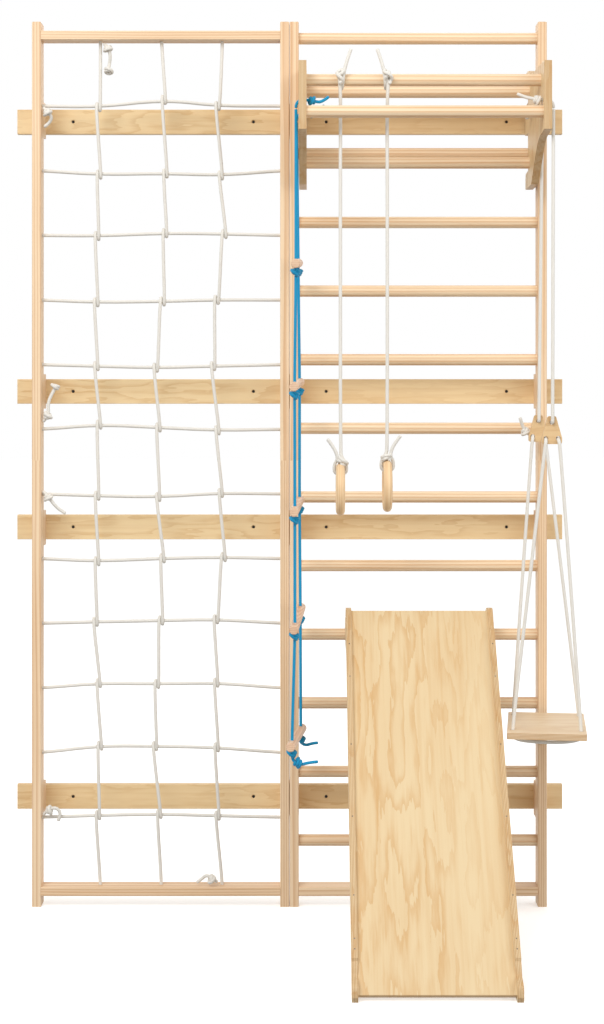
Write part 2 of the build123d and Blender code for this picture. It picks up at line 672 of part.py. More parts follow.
def rail_outline():
    """A slide rail from the side: foot on the floor, lip along the board, hook over the rung."""
    lip, step = SLIDE_LIP, SLIDE_LIP - 5
    front_wall, back_wall = MID_Y - HOOK_R, MID_Y + HOOK_R
    under = -30
    head = on_slope(SLIDE_LENGTH - 4, 8)
    foot_nose = (-691, 12)
    with BuildSketch(Plane.YZ) as outline:
        with BuildLine():
            Polyline(
                on_slope(70, step), on_slope(75, lip), on_slope(890, lip),
                on_slope(895, step), on_slope(925, step), on_slope(930, 8), head,
            )
            Spline(head, (-24, 728), (16, 702), (48, 696), tangents=[(0.9, 0.5), (1, -0.3)])
            RadiusArc((48, 696), (66, 678), 18)
            Line((66, 678), (66, 652))
            RadiusArc((66, 652), (54, 640), 12)
            Polyline((54, 640), (back_wall, 644), (back_wall, SLIDE_RUNG_Z))
            ThreePointArc(
                (back_wall, SLIDE_RUNG_Z), (MID_Y, SLIDE_RUNG_Z + HOOK_R), (front_wall, SLIDE_RUNG_Z)
            )
            Line((front_wall, SLIDE_RUNG_Z), (front_wall, 638))
            Spline(
                (front_wall, 638), (-30, 634), on_slope(800, under),
                tangents=[(-1, -0.3), (-math.cos(SLOPE), -math.sin(SLOPE))],
            )
            Polyline(on_slope(800, under), on_slope(60, under), (-640, 0), (-684, 0), foot_nose)
            Spline(
                foot_nose, (-686, 34), on_slope(40, 2), on_slope(70, step),
                tangents=[(0, 1), (math.cos(SLOPE), math.sin(SLOPE))],
            )
        make_face()
    return outline.sketch


def slide_screw(side, along):
    """A countersunk screw from the outside of a rail into a batten."""
    outer_x = SLIDE_LEFT_X if side < 0 else SLIDE_LEFT_X + SLIDE_WIDTH
    y, z = on_slope(along + BATTEN_SIZE[0] / 2, -SLIDE_BOARD_THICK - BATTEN_SIZE[1] / 2)
    shank = rod_x(*sorted((outer_x, outer_x - side * 38)), y, z, 2.0)
    head = Cone(4.0, 2.0, 2.5, align=(Align.CENTER, Align.CENTER, Align.MIN))
    return shank + Pos(outer_x, y, z) * Rot(0, -90 * side, 0) * head


def rail_pin(side, along):
    """A thin pin sunk in the lip of a rail."""
    x = SLIDE_LEFT_X + SLIDE_RAIL * 0.55
    if side > 0:
        x = SLIDE_LEFT_X + SLIDE_WIDTH - SLIDE_RAIL * 0.55
    y, z = on_slope(along, SLIDE_LIP - 0.6)
    down = Vector(0, math.sin(SLOPE), -math.cos(SLOPE))
    pin = Cylinder(PIN_R, PIN_LENGTH, align=(Align.CENTER, Align.CENTER, Align.MIN))
    return Plane(origin=(x, y, z), z_dir=down) * pin


def pin_hole(side, along):
    """The pin's hole, open at the lip."""
    pin = rail_pin(side, along)
    up = Vector(0, -math.sin(SLOPE), math.cos(SLOPE))
    return pin + pin.moved(Location(up * 2))


def save_slide():
    """Board, rails, battens, screws and pins of the slide."""
    x0, x1 = SLIDE_LEFT_X, SLIDE_LEFT_X + SLIDE_WIDTH
    inner = (x0 + SLIDE_RAIL, x1 - SLIDE_RAIL)
    board = slope_box(inner, (0, SLIDE_LENGTH), (-SLIDE_BOARD_THICK, 0))
    save(fillet(board.edges().filter_by(Axis.X), 2.5), "slide_board")
    under = (-SLIDE_BOARD_THICK - BATTEN_SIZE[1], -SLIDE_BOARD_THICK)
    screws = {side: [slide_screw(side, s) for s in BATTEN_PLACES] for side in (-1, 1)}
    battens = []
    for i, along in enumerate(BATTEN_PLACES):
        batten = slope_box(inner, (along, along + BATTEN_SIZE[0]), under)
        battens.append(batten - screws[-1][i] - screws[1][i])
    save(Compound(children=battens), "slide_battens")
    for side, left, name in ((-1, x0, "slide_rail_left"), (1, x1 - SLIDE_RAIL, "slide_rail_right")):
        rail = Pos(left, 0, 0) * extrude(rail_outline(), SLIDE_RAIL, dir=(1, 0, 0))
        for cut in screws[side] + [pin_hole(side, s) for s in PIN_PLACES]:
            rail -= cut
        save(rail, name)
    pins = [rail_pin(side, s) for side in (-1, 1) for s in PIN_PLACES]
    save(Compound(children=screws[-1] + screws[1] + pins), "slide_screws")


os.makedirs("parts", exist_ok=True)
save_frames()
save_net()
save_unit()
save_rings()
save_swing()
save_rope_ladder()
save_slide()
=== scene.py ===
"""Looks for a wall-mounted wooden climbing set with a net, rings, swing, rope ladder and slide.

Lengths are in metres. Drawing coordinates have X = 0 between the two frames, Y = 0 at the posts'
front faces and Z = 0 on the floor; at() turns them into the frame that everything stands in.
"""

import math
import random

import bmesh
import bpy
import numpy as np
from mathutils import Euler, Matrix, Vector


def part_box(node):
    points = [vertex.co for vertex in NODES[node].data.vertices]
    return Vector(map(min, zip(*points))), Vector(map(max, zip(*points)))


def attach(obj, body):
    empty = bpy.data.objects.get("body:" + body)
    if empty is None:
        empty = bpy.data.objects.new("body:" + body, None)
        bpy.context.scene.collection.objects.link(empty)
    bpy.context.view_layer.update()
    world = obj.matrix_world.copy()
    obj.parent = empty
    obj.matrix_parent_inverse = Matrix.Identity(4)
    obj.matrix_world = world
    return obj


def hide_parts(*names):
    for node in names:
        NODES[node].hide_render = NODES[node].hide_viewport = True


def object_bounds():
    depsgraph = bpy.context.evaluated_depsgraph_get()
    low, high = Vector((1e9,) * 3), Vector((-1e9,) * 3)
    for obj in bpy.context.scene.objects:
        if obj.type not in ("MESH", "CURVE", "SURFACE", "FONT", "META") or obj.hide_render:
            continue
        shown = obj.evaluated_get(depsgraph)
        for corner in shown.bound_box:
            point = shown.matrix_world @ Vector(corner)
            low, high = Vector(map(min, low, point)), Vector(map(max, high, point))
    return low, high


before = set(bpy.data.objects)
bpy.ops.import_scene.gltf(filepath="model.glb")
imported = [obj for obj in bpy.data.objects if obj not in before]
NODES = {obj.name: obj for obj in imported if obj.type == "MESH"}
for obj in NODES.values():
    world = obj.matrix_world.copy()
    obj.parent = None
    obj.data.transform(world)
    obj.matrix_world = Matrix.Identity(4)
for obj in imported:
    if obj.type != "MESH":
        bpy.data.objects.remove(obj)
cad_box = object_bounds()

# ---------------------------------------------------------------- the drawing, in metres
NET_LEFT_X = -0.626
DRAWING_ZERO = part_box("net_post_left_lower")[0] - Vector((NET_LEFT_X, 0, 0))
MID_Y = 0.025                       # the plane of the rungs and the net
ROPE_D = 0.008
BLUE_ROPE_D = 0.007
UPRIGHT_XS = (-0.462, -0.313, -0.164)
CROSS_FIRST_Z = 0.2125
CROSS_PITCH = 0.158
WRAP = 0.0086                       # from a cross rope's middle to the rope wound round it
WRAP_FRONT_LEAN = 0.0055            # how far that rope leans sideways in front of the cross rope
WRAP_BACK_LEAN = 0.002              # and behind it
NET_XS = (-0.622, -0.0045)          # where the cross ropes end, inside the posts
NET_HOLE_XS = (-0.601, -0.0255)     # where they leave the posts
NET_ZS = (2.128, 0.028)             # where the upright ropes end, inside the rails
NET_HOLE_ZS = (2.103, 0.053)        # where they leave the rails
SLIDE_FOOT = (-0.682, 0.014)        # lower and upper end of the sliding surface, (y, z)
SLIDE_HEAD = (-0.050, 0.727)
SLIDE_BOARD_THICK = 0.012
SLOPE = math.atan2(SLIDE_HEAD[1] - SLIDE_FOOT[1], SLIDE_HEAD[0] - SLIDE_FOOT[0])

# Where each upright rope goes round each cross rope, (x, z), one row per cross rope.
NET_KNOTS = [
    [(-0.467, 1.948), (-0.307, 1.966), (-0.176, 1.951)],
    [(-0.465, 1.783), (-0.303, 1.786), (-0.168, 1.781)],
    [(-0.470, 1.633), (-0.304, 1.640), (-0.159, 1.638)],
    [(-0.472, 1.471), (-0.310, 1.473), (-0.178, 1.477)],
    [(-0.472, 1.315), (-0.327, 1.311), (-0.187, 1.315)],
    [(-0.465, 1.172), (-0.320, 1.165), (-0.176, 1.158)],
    [(-0.470, 0.998), (-0.321, 0.995), (-0.168, 1.005)],
    [(-0.470, 0.838), (-0.310, 0.845), (-0.161, 0.848)],
    [(-0.474, 0.690), (-0.314, 0.693), (-0.180, 0.696)],
    [(-0.466, 0.540), (-0.324, 0.538), (-0.179, 0.541)],
    [(-0.463, 0.387), (-0.329, 0.386), (-0.178, 0.383)],
    [(-0.468, 0.217), (-0.318, 0.220), (-0.176, 0.216)],
]


def at(x, y, z):
    """A point of the drawing in the shared frame."""
    return DRAWING_ZERO + Vector((x, y, z))


def tone(red, green, blue):
    """A colour as a screen shows it, 0 to 255, in the linear values that shaders take."""
    def linear(value):
        value /= 255
        return value / 12.92 if value <= 0.04045 else ((value + 0.055) / 1.055) ** 2.4
    return (linear(red), linear(green), linear(blue), 1.0)


# ---------------------------------------------------------------- shader building
class Shader:
    """A Principled material with short calls for the nodes that feed it."""

    def __init__(self, name, **uniform):
        self.material = bpy.data.materials.new(name)
        self.material.use_nodes = True
        self.tree = self.material.node_tree
        self.surface = self.tree.nodes["Principled BSDF"]
        for socket, value in uniform.items():
            self.surface.inputs[socket.replace("_", " ")].default_value = value

    def add(self, kind, inputs=(), **settings):
        """A new node. inputs pairs socket names or numbers with values or other sockets."""
        node = self.tree.nodes.new("ShaderNode" + kind)
        for key, value in settings.items():
            setattr(node, key, value)
        for key, value in dict(inputs).items():
            self.set(node.inputs[key], value)
        return node

    def set(self, socket, value):
        if isinstance(value, bpy.types.NodeSocket):
            self.tree.links.new(value, socket)
        else:
            socket.default_value = value

    def math(self, operation, a, b=0.0, c=0.0, clamp=False):
        node = self.add("Math", {0: a, 1: b, 2: c}, operation=operation, use_clamp=clamp)
        return node.outputs[0]

    def noise(self, place, scale, detail=2.0, roughness=0.5):
        return self.add(
            "TexNoise",
            {"Vector": place, "Scale": scale, "Detail": detail, "Roughness": roughness},
        ).outputs["Fac"]

    def moved(self, place, offset=(0, 0, 0), turn=(0, 0, 0), scale=(1, 1, 1)):
        inputs = {"Vector": place, "Location": offset, "Rotation": turn, "Scale": scale}
        return self.add("Mapping", inputs).outputs[0]

    def span(self, value, low, high, to_low=0.0, to_high=1.0):
        """value from low to high, smoothly as to_low to to_high."""
        inputs = {"Value": value, 1: low, 2: high, 3: to_low, 4: to_high}
        node = self.add("MapRange", inputs, interpolation_type="SMOOTHSTEP")
        return node.outputs[0]

    def blend(self, share, a, b, mode="MIX"):
        node = self.add("Mix", data_type="RGBA", blend_type=mode)
        self.set(node.inputs[0], share)
        self.set(node.inputs[6], a)
        self.set(node.inputs[7], b)
        return node.outputs[2]

    def finish(self, colour, roughness, height, depth):
        """Wires colour, roughness and a bump of that depth in metres."""
        self.set(self.surface.inputs["Base Color"], colour)
        self.set(self.surface.inputs["Roughness"], roughness)
        bump = self.add("Bump", {"Height": height, "Strength": 1.0, "Distance": depth})
        self.set(self.surface.inputs["Normal"], bump.outputs[0])
        return self.material


GRAIN_TURN = {
    "X": (0, 0, 0),
    "Y": (0, 0, -math.pi / 2),
    "Z": (0, math.pi / 2, 0),
    "slope": (-SLOPE, 0, -math.pi / 2),
}
PITH_PULL = 0.045                    # how far a piece was sawn from the middle of its log


def ring_figure(shader, log, ring_gap, wander):
    """Growth rings round the log's middle, as sawn and turned wood shows them: 0 pale, 1 dark."""
    rings = shader.add(
        "TexWave",
        {
            "Vector": shader.moved(log, scale=(0.07, 1, 1)),
            "Scale": 0.314 / ring_gap,
            "Distortion": wander,
            "Detail": 2.0,
            "Detail Scale": 0.35,
            "Detail Roughness": 0.45,
        },
        wave_type="RINGS",
        rings_direction="X",
        wave_profile="SAW",
    ).outputs["Fac"]
    return shader.span(rings, 0.30, 1.0)


def veneer_figure(shader, log, lines, size):
    """The wild flames of peeled veneer: thin dark lines that follow a slow height map."""
    height = shader.noise(shader.moved(log, scale=(1.6 / size, 8.0 / size, 8.0 / size)), 1.0,
                          detail=3.5, roughness=0.50)
    ragged = shader.noise(shader.moved(log, scale=(16, 170, 170)), 1.0, detail=3.0)
    height = shader.math("MULTIPLY_ADD", ragged, 0.085, height)
    line = shader.math("FRACT", shader.math("MULTIPLY", height, lines))
    flame = shader.math("POWER", shader.span(line, 0.10, 0.97), 2.6)
    edge = shader.span(line, 0.965, 1.0, 1.0, 0.0)
    quiet = shader.noise(shader.moved(log, scale=(0.9, 5, 5), offset=(3, 7, 1)), 1.0, detail=1.0)
    return shader.math("MULTIPLY", shader.math("MULTIPLY", flame, edge),
                       shader.span(quiet, 0.30, 0.56, 0.35, 1.0))


def wood(name, pale, dark, grain, seed, ring_gap=0.006, wander=5.0, contrast=0.55,
         knots=0.0, plies=None, ring_centre=None, veneer=None):
    """Sawn, turned or veneered wood with its grain along one direction.

    plies is (axis, first face, thickness, count) of a plywood piece, whose edges show layers.
    ring_centre makes the grain run round that point, in the plane across X.
    veneer is (lines, size) of a peeled face, instead of growth rings.
    """
    draw = random.Random(seed)
    shader = Shader(name, Specular_IOR_Level=0.35, Coat_Weight=0.06, Coat_Roughness=0.35)
    place = shader.add("TexCoord").outputs["Object"]
    if ring_centre is None:
        along = shader.moved(place, turn=GRAIN_TURN[grain])
    else:
        away = shader.add(
            "VectorMath", {0: place, 1: tuple(ring_centre)}, operation="SUBTRACT"
        ).outputs[0]
        parts = shader.add("SeparateXYZ", {0: away}).outputs
        angle = shader.math("ARCTAN2", parts[1], parts[2])
        reach = shader.math("SQRT", shader.math(
            "MULTIPLY_ADD", parts[1], parts[1], shader.math("MULTIPLY", parts[2], parts[2])))
        arc = shader.math("MULTIPLY", angle, 0.05)
        along = shader.add("CombineXYZ", {0: arc, 1: reach, 2: parts[0]}).outputs[0]
    pith = draw.uniform(0, 2 * math.pi)
    offset = (
        draw.uniform(-9, 9),
        draw.uniform(-0.4, 0.4) + PITH_PULL * math.cos(pith),
        draw.uniform(-0.4, 0.4) + PITH_PULL * math.sin(pith),
    )
    log = shader.moved(along, offset=offset)
    if veneer:
        late_wood = veneer_figure(shader, log, *veneer)
    else:
        late_wood = ring_figure(shader, log, ring_gap, wander)
    # The grain runs along the log's x, so every pattern is drawn out that way.
    streaks = shader.noise(shader.moved(log, scale=(1.6, 85, 85)), 1.0, detail=3.0)
    fibres = shader.noise(shader.moved(log, scale=(14, 900, 900)), 1.0, detail=2.0)
    patches = shader.noise(shader.moved(log, scale=(2.2, 9, 9)), 1.0, detail=1.0)

    amount = shader.math("MULTIPLY", late_wood, contrast)
    amount = shader.math("MULTIPLY_ADD", shader.span(streaks, 0.35, 0.75), 0.24, amount)
    amount = shader.math("MULTIPLY_ADD", shader.span(patches, 0.35, 0.75), 0.20, amount)
    amount = shader.math("MULTIPLY_ADD", fibres, 0.12, amount)
    amount = shader.math("SUBTRACT", amount, 0.10, clamp=True)
    colour = shader.blend(amount, pale, dark)

    if knots:
        cells = shader.add(
            "TexVoronoi",
            {"Vector": shader.moved(log, scale=(2.4, 9, 9)), "Scale": 1.0, "Randomness": 0.9},
        )
        lucky = shader.math("LESS_THAN", shader.add(
            "SeparateColor", {0: cells.outputs["Color"]}).outputs[0], knots)
        eye = shader.math("MULTIPLY", lucky, shader.span(
            cells.outputs["Distance"], 0.03, 0.11, 1.0, 0.0))
        core = shader.blend(0.55, dark, tone(96, 58, 30))
        colour = shader.blend(shader.math("MULTIPLY", eye, 0.8), colour, core)

    if plies:
        axis, face, thick, count = plies
        turned = shader.moved(place, turn=(-SLOPE, 0, 0)) if axis == "slope" else place
        parts = shader.add("SeparateXYZ", {0: turned}).outputs
        depth = parts[{"X": 0, "Y": 1, "Z": 2, "slope": 2}[axis]]
        # An odd count of layers, so that both faces are face veneer.
        pace = math.pi * (count - 1) / thick
        layer = shader.math("MULTIPLY_ADD", depth, pace, -face * pace)
        wave = shader.math("COSINE", layer)
        cross = shader.span(wave, -0.25, 0.0, 1.0, 0.0)
        glue = shader.span(shader.math("ABSOLUTE", wave), 0.0, 0.35, 1.0, 0.0)
        end_grain = shader.blend(streaks, tone(196, 150, 98), tone(160, 112, 66))
        colour = shader.blend(shader.math("MULTIPLY", cross, 0.75), colour, end_grain)
        colour = shader.blend(shader.math("MULTIPLY", glue, 0.55), colour, tone(118, 78, 44))

    roughness = shader.math("MULTIPLY_ADD", streaks, 0.16, 0.42)
    height = shader.math("MULTIPLY_ADD", fibres, 0.6, shader.math("MULTIPLY", late_wood, 0.4))
    return shader.finish(colour, roughness, height, 0.0004)


def rope_finish(name, crest, valley_shade_and_dirt):
    """Braided cord. Its colour pattern follows the braid that the rope's mesh is raised in, with
    painted shade in the braid's valleys.
    """
    shader = Shader(name, Specular_IOR_Level=0.25, Sheen_Weight=0.25, Sheen_Roughness=0.5)
    uv = shader.add("UVMap", uv_map="braid").outputs[0]
    parts = shader.add("SeparateXYZ", {0: uv}).outputs
    around = shader.math("COSINE", shader.math("MULTIPLY", parts[0], math.pi * BRAID_SIDES))
    onward = shader.math("COSINE", shader.math("MULTIPLY", parts[1], math.pi))
    braid = shader.math("MULTIPLY", around, onward)
    place = shader.add("TexCoord").outputs["Object"]
    fuzz = shader.noise(place, 2500.0, detail=2.0)
    dust = shader.noise(place, 24.0, detail=3.0)
    # The braid's valleys get painted shade: share runs from the valley colour to the crest colour,
    # with random fibre fuzz.
    raised = shader.math("MULTIPLY_ADD", braid, 0.32, 0.5)
    share = shader.math("MULTIPLY_ADD", shader.math("SUBTRACT", fuzz, 0.5), 0.5, raised, clamp=True)
    colour = shader.blend(share, valley_shade_and_dirt, crest)
    # Dust patches, real dirt, take the same colour as the valleys' painted shade.
    soiled = shader.math("MULTIPLY", shader.span(dust, 0.45, 0.8), 0.12)
    colour = shader.blend(soiled, colour, valley_shade_and_dirt)
    roughness = shader.math("MULTIPLY_ADD", fuzz, 0.2, 0.6)
    return shader.finish(colour, roughness, shader.math("ADD", raised, fuzz), 0.00025)


def steel_finish(name):
    """Plated steel, slightly worn."""
    shader = Shader(name, Metallic=1.0, Specular_IOR_Level=0.5)
    place = shader.add("TexCoord").outputs["Object"]
    wear = shader.noise(place, 320.0, detail=4.0)
    brushed = shader.noise(shader.moved(place, scale=(1, 1, 9)), 900.0, detail=2.0)
    colour = shader.blend(shader.span(wear, 0.3, 0.7), tone(104, 98, 92), tone(150, 144, 136))
    roughness = shader.math("MULTIPLY_ADD", brushed, 0.25, 0.28)
    return shader.finish(colour, roughness, brushed, 0.0001)


# ---------------------------------------------------------------- ropes
BRAID_SIDES = 12                     # points round a rope; every second one is raised
BRAID_STEP = 0.0025
BRAID_RELIEF = 0.045                 # of the rope's radius
KNOT_POINTS_PER_TURN = 16
KNOT_WOUND = 0.72                    # the share of a knot's strand that is wound in turns
KNOT_OVER_TURNS = 0.75               # how far the rest goes round, back over those turns


def spline_points(name, route):
    """The points of a smooth NURBS line over a route of given points."""
    data = bpy.data.curves.new(name + "_line", "CURVE")
    data.dimensions = "3D"
    data.resolution_u = 24
    spline = data.splines.new("NURBS")
    spline.points.add(len(route) - 1)
    for point, place in zip(spline.points, route):
        point.co = (*place, 1.0)
    spline.order_u = 3
    spline.use_endpoint_u = True
    holder = bpy.data.objects.new(name + "_line", data)
    mesh = bpy.data.meshes.new_from_object(holder)
    points = np.array([v.co for v in mesh.vertices], float)
    bpy.data.meshes.remove(mesh)
    bpy.data.objects.remove(holder)
    bpy.data.curves.remove(data)
    return points


def evenly(points, step):
    """The same line with an odd number of evenly spaced points."""
    lengths = np.linalg.norm(np.diff(points, axis=0), axis=1)
    gone = np.concatenate([[0.0], np.cumsum(lengths)])
    count = max(4, 2 * round(gone[-1] / step / 2))
    wanted = np.linspace(0.0, gone[-1], count + 1)
    return np.stack([np.interp(wanted, gone, points[:, k]) for k in range(3)], axis=1)


def side_vectors(points):
    """Two directions across the line at each point, which turn as little as they can."""
    ways = np.gradient(points, axis=0)
    ways /= np.linalg.norm(ways, axis=1)[:, None]
    first = np.cross(ways[0], (0.31, 0.22, 0.93) if abs(ways[0][2]) < 0.8 else (1.0, 0.1, 0.0))
    sides = [first / np.linalg.norm(first)]
    for way in ways[1:]:
        side = sides[-1] - way * (sides[-1] @ way)
        sides.append(side / np.linalg.norm(side))
    sides = np.array(sides)
    return sides, np.cross(ways, sides), ways


def braided_tube(name, points, diameter, material):
    """A closed tube round the points, raised in a braid, with sealed ends."""
    sides, ups, ways = side_vectors(points)
    rings, count = len(points), BRAID_SIDES
    angles = 2 * math.pi * np.arange(count) / count
    raised = 1 + BRAID_RELIEF * (-1.0) ** (np.arange(rings)[:, None] + np.arange(count)[None, :])
    raised[0] = raised[-1] = 0.86
    spokes = (
        sides[:, None, :] * np.cos(angles)[None, :, None]
        + ups[:, None, :] * np.sin(angles)[None, :, None]
    )
    surface = points[:, None, :] + spokes * (raised * diameter / 2)[:, :, None]
    tips = [points[0] - ways[0] * diameter * 0.12, points[-1] + ways[-1] * diameter * 0.12]
    mesh = bpy.data.meshes.new(name)
    faces, uvs = [], []
    for i in range(rings - 1):
        for j in range(count):
            k = (j + 1) % count
            faces.append((i * count + j, i * count + k, (i + 1) * count + k, (i + 1) * count + j))
            uvs += [(j, i), (j + 1, i), (j + 1, i + 1), (j, i + 1)]
    last, tip = (rings - 1) * count, rings * count
    for j in range(count):
        k = (j + 1) % count
        faces.append((k, j, tip))
        faces.append((last + j, last + k, tip + 1))
        uvs += [(j + 1, 0), (j, 0), (j + 0.5, -1)]
        uvs += [(j, rings - 1), (j + 1, rings - 1), (j + 0.5, rings)]
    mesh.from_pydata([*surface.reshape(-1, 3).tolist(), *tips], [], faces)
    layer = mesh.uv_layers.new(name="braid")
    for loop, (u, v) in zip(layer.data, uvs):
        loop.uv = (u / count, v)
    mesh.polygons.foreach_set("use_smooth", [True] * len(mesh.polygons))
    mesh.materials.append(material)
    mesh.update()
    piece = bpy.data.objects.new(name, mesh)
    bpy.context.scene.collection.objects.link(piece)
    return piece


def knot(name, points, near, body, slot, material, thick, turns=2.4, height=0.015,
         girth=0.78, shift=(0, 0, 0), up=None):
    """A knot wound round a rope's own line near a point: turns, then a strand back over them.

    shift moves it off the line, and up turns it, where it ties two runs of the rope together.
    """
    middle = int(np.linalg.norm(points - np.array(near), axis=1).argmin())
    sides, _, ways = side_vectors(points)
    way = ways[middle] if up is None else np.array(Vector(up).normalized())
    side = sides[middle] - way * (sides[middle] @ way)
    side /= np.linalg.norm(side)
    across_side = np.cross(way, side)
    centre = points[middle] + np.array(shift)
    steps = KNOT_POINTS_PER_TURN * math.ceil(turns + 1)
    line = []
    for i in range(steps + 1):
        t = i / steps
        wound = min(1.0, t / KNOT_WOUND)
        over = max(0.0, (t - KNOT_WOUND) / (1 - KNOT_WOUND))
        angle = 2 * math.pi * (turns * wound + KNOT_OVER_TURNS * over)
        lift = height * (wound - 0.5) - height * 0.95 * over
        rise = math.sin(math.pi * over)
        radius = thick * (girth + 0.62 * rise - 0.35 * max(0.0, 1 - t / 0.08))
        across = side * math.cos(angle) + across_side * math.sin(angle)
        line.append(centre + way * lift + across * radius)
    piece = braided_tube(name, evenly(np.array(line), BRAID_STEP), thick, material)
    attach(piece, body)
    return piece


def rope(name, node, body, slot, material, route, diameter, knots=()):
    """A finished rope, with its knots, in place of one of a node's plain ropes."""
    route = [at(*point) for point in route]
    points = evenly(spline_points(name, route), BRAID_STEP)
    piece = braided_tube(name, points, diameter, material)
    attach(piece, body)
    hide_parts(node)
    made = [
        knot(f"{name}_knot_{i + 1}", points, at(*place), body, slot, material, diameter, **form)
        for i, (place, form) in enumerate(knots)
    ]


# Crest colour, then the darker valley colour: painted shade in the braid's valleys, also used for
# the dust.
WHITE = rope_finish("rope_white", tone(245, 242, 235), tone(208, 202, 191))
BLUE = rope_finish("rope_blue", tone(12, 170, 216), tone(0, 112, 162))


def net_ropes():
    """Cross ropes from post to post, and upright ropes that go round each of them."""
    for r, row in enumerate(NET_KNOTS):
        z = CROSS_FIRST_Z + CROSS_PITCH * (len(NET_KNOTS) - 1 - r)
        route = [(NET_XS[0], MID_Y, z), (NET_HOLE_XS[0], MID_Y, z)]
        route += [(x, MID_Y, knot_z) for x, knot_z in row]
        route += [(NET_HOLE_XS[1], MID_Y, z), (NET_XS[1], MID_Y, z)]
        rope(f"net_cross_rope_{r + 1:02d}", "net_cross_ropes", "root", "rope_white", WHITE,
             route, ROPE_D)
    for column, x in enumerate(UPRIGHT_XS):
        route = [(x, MID_Y, NET_ZS[0]), (x, MID_Y, NET_HOLE_ZS[0])]
        for row in NET_KNOTS:
            kx, kz = row[column]
            route += [
                (kx + WRAP_FRONT_LEAN, MID_Y - WRAP, kz - WRAP),
                (kx + WRAP_BACK_LEAN, MID_Y + WRAP, kz - WRAP),
                (kx - WRAP_BACK_LEAN, MID_Y + WRAP, kz + WRAP),
                (kx - WRAP_FRONT_LEAN, MID_Y - WRAP, kz + WRAP),
            ]
        route += [(x, MID_Y, NET_HOLE_ZS[1]), (x, MID_Y, NET_ZS[1])]
        rope(f"net_upright_rope_{column + 1}", "net_upright_ropes", "root", "rope_white", WHITE,
             route, ROPE_D)


# The loose ends of the net's ropes, from the frame outwards.
TIE_OFFS = [
    [(-0.452, 0.016, 2.100), (-0.440, 0.008, 2.091), (-0.436, 0.011, 2.068),
     (-0.440, 0.018, 2.048), (-0.442, 0.013, 2.034)],
    [(-0.600, 0.012, 1.944), (-0.588, 0.008, 1.934), (-0.578, 0.012, 1.920),
     (-0.588, 0.018, 1.906), (-0.598, 0.014, 1.898)],
    [(-0.600, 0.012, 1.180), (-0.586, 0.008, 1.194), (-0.588, 0.008, 1.224),
     (-0.581, 0.012, 1.244), (-0.570, 0.016, 1.264)],
    [(-0.600, 0.012, 1.010), (-0.586, 0.008, 0.996), (-0.574, 0.010, 0.978),
     (-0.560, 0.016, 0.964), (-0.546, 0.014, 0.956)],
    [(-0.600, 0.012, 0.222), (-0.586, 0.008, 0.236), (-0.568, 0.010, 0.240),
     (-0.556, 0.014, 0.224), (-0.564, 0.014, 0.206)],
    [(-0.176, 0.012, 0.058), (-0.188, 0.008, 0.066), (-0.202, 0.010, 0.076),
     (-0.214, 0.016, 0.064), (-0.226, 0.014, 0.056)],
]
END_KNOTS = (0, 2)                  # the tie-offs with a second knot at the very end


def tie_off_ropes():
    """Loose ends of the net's ropes, each knotted close to where it leaves the frame."""
    for i, route in enumerate(TIE_OFFS):
        tied = [(route[1], {"turns": 1.9, "height": 0.011})]
        if i in END_KNOTS:
            tied.append((route[-1], {"turns": 1.5, "height": 0.008, "girth": 0.72}))
        rope(f"net_tie_off_{i + 1}", "net_tie_offs", "root", "rope_white", WHITE,
             route, ROPE_D, knots=tied)


FRONT_UPPER_BAR = (-0.225, 1.970)   # (y, z)
BAR_WRAP = 0.0186                   # from the bar's middle to the middle of the rope round it
RING_WRAP = 0.0146                  # from the ring rod's middle to the rope's points below it
RING_WRAP_SIDE = 0.0143             # and to those beside it
RING_ROD_R = 0.01025


def ring_rope(name, body, x, top, lean):
    """From a short tail over the bar, down to the ring, round it, and up to a tail."""
    y, bar_z = FRONT_UPPER_BAR
    rod_z = top - RING_ROD_R
    route = [
        (x + 0.024 * lean, y - 0.020, bar_z + 0.068),
        (x + 0.009 * lean, y - 0.025, bar_z + 0.026),
        (x + 0.004 * lean, y - BAR_WRAP, bar_z - BAR_WRAP),
        (x + 0.003 * lean, y + BAR_WRAP, bar_z - BAR_WRAP),
        (x - 0.002 * lean, y + BAR_WRAP, bar_z + BAR_WRAP),
        (x - 0.004 * lean, y - BAR_WRAP, bar_z + BAR_WRAP),
        (x, y - BAR_WRAP, bar_z - 0.030),
        (x, y - 0.002, bar_z - 0.078),
        (x + 0.0004 * lean, y - 0.002, bar_z - 0.112),
        (x, y - 0.004, bar_z - 0.200),
        (x, y - 0.004, top + 0.028),
        (x + 0.003 * lean, y - 0.005, top + 0.013),
        (x + RING_WRAP_SIDE * lean, y - 0.002, top - 0.001),
        (x + RING_WRAP_SIDE * lean, y, rod_z - RING_WRAP),
        (x - RING_WRAP_SIDE * lean, y, rod_z - RING_WRAP),
        (x - RING_WRAP_SIDE * lean, y - 0.003, top - 0.001),
        (x - 0.005 * lean, y - 0.011, top + 0.010),
        (x - 0.014 * lean, y - 0.014, top + 0.036),
        (x - 0.030 * lean, y - 0.016, top + 0.056),
    ]
    knots = [
        ((x + 0.002 * lean, y - BAR_WRAP, bar_z + 0.004),
         {"turns": 1.6, "height": 0.034, "girth": 0.60,
          "shift": (0.003 * lean, -0.007, 0), "up": (0.12 * lean, 0, 1)}),
        ((x + 0.003 * lean, y - 0.005, top + 0.010),
         {"turns": 1.9, "height": 0.012, "girth": 1.0,
          "shift": (-0.002 * lean, -0.006, -0.006), "up": (0.35 * lean, 0, 1)}),
    ]
    rope(f"braided_{name}", name, body, "rope_white", WHITE, route, ROPE_D,
         knots)


CORD_YS = (-0.262, -0.066)          # the front and back rope on each side of the unit
CORD_HOLE_Z = 1.918
CORD_DROP = 0.018                   # from the hole down to where the hanging rope takes over
HANG_TOP_Z = 1.897
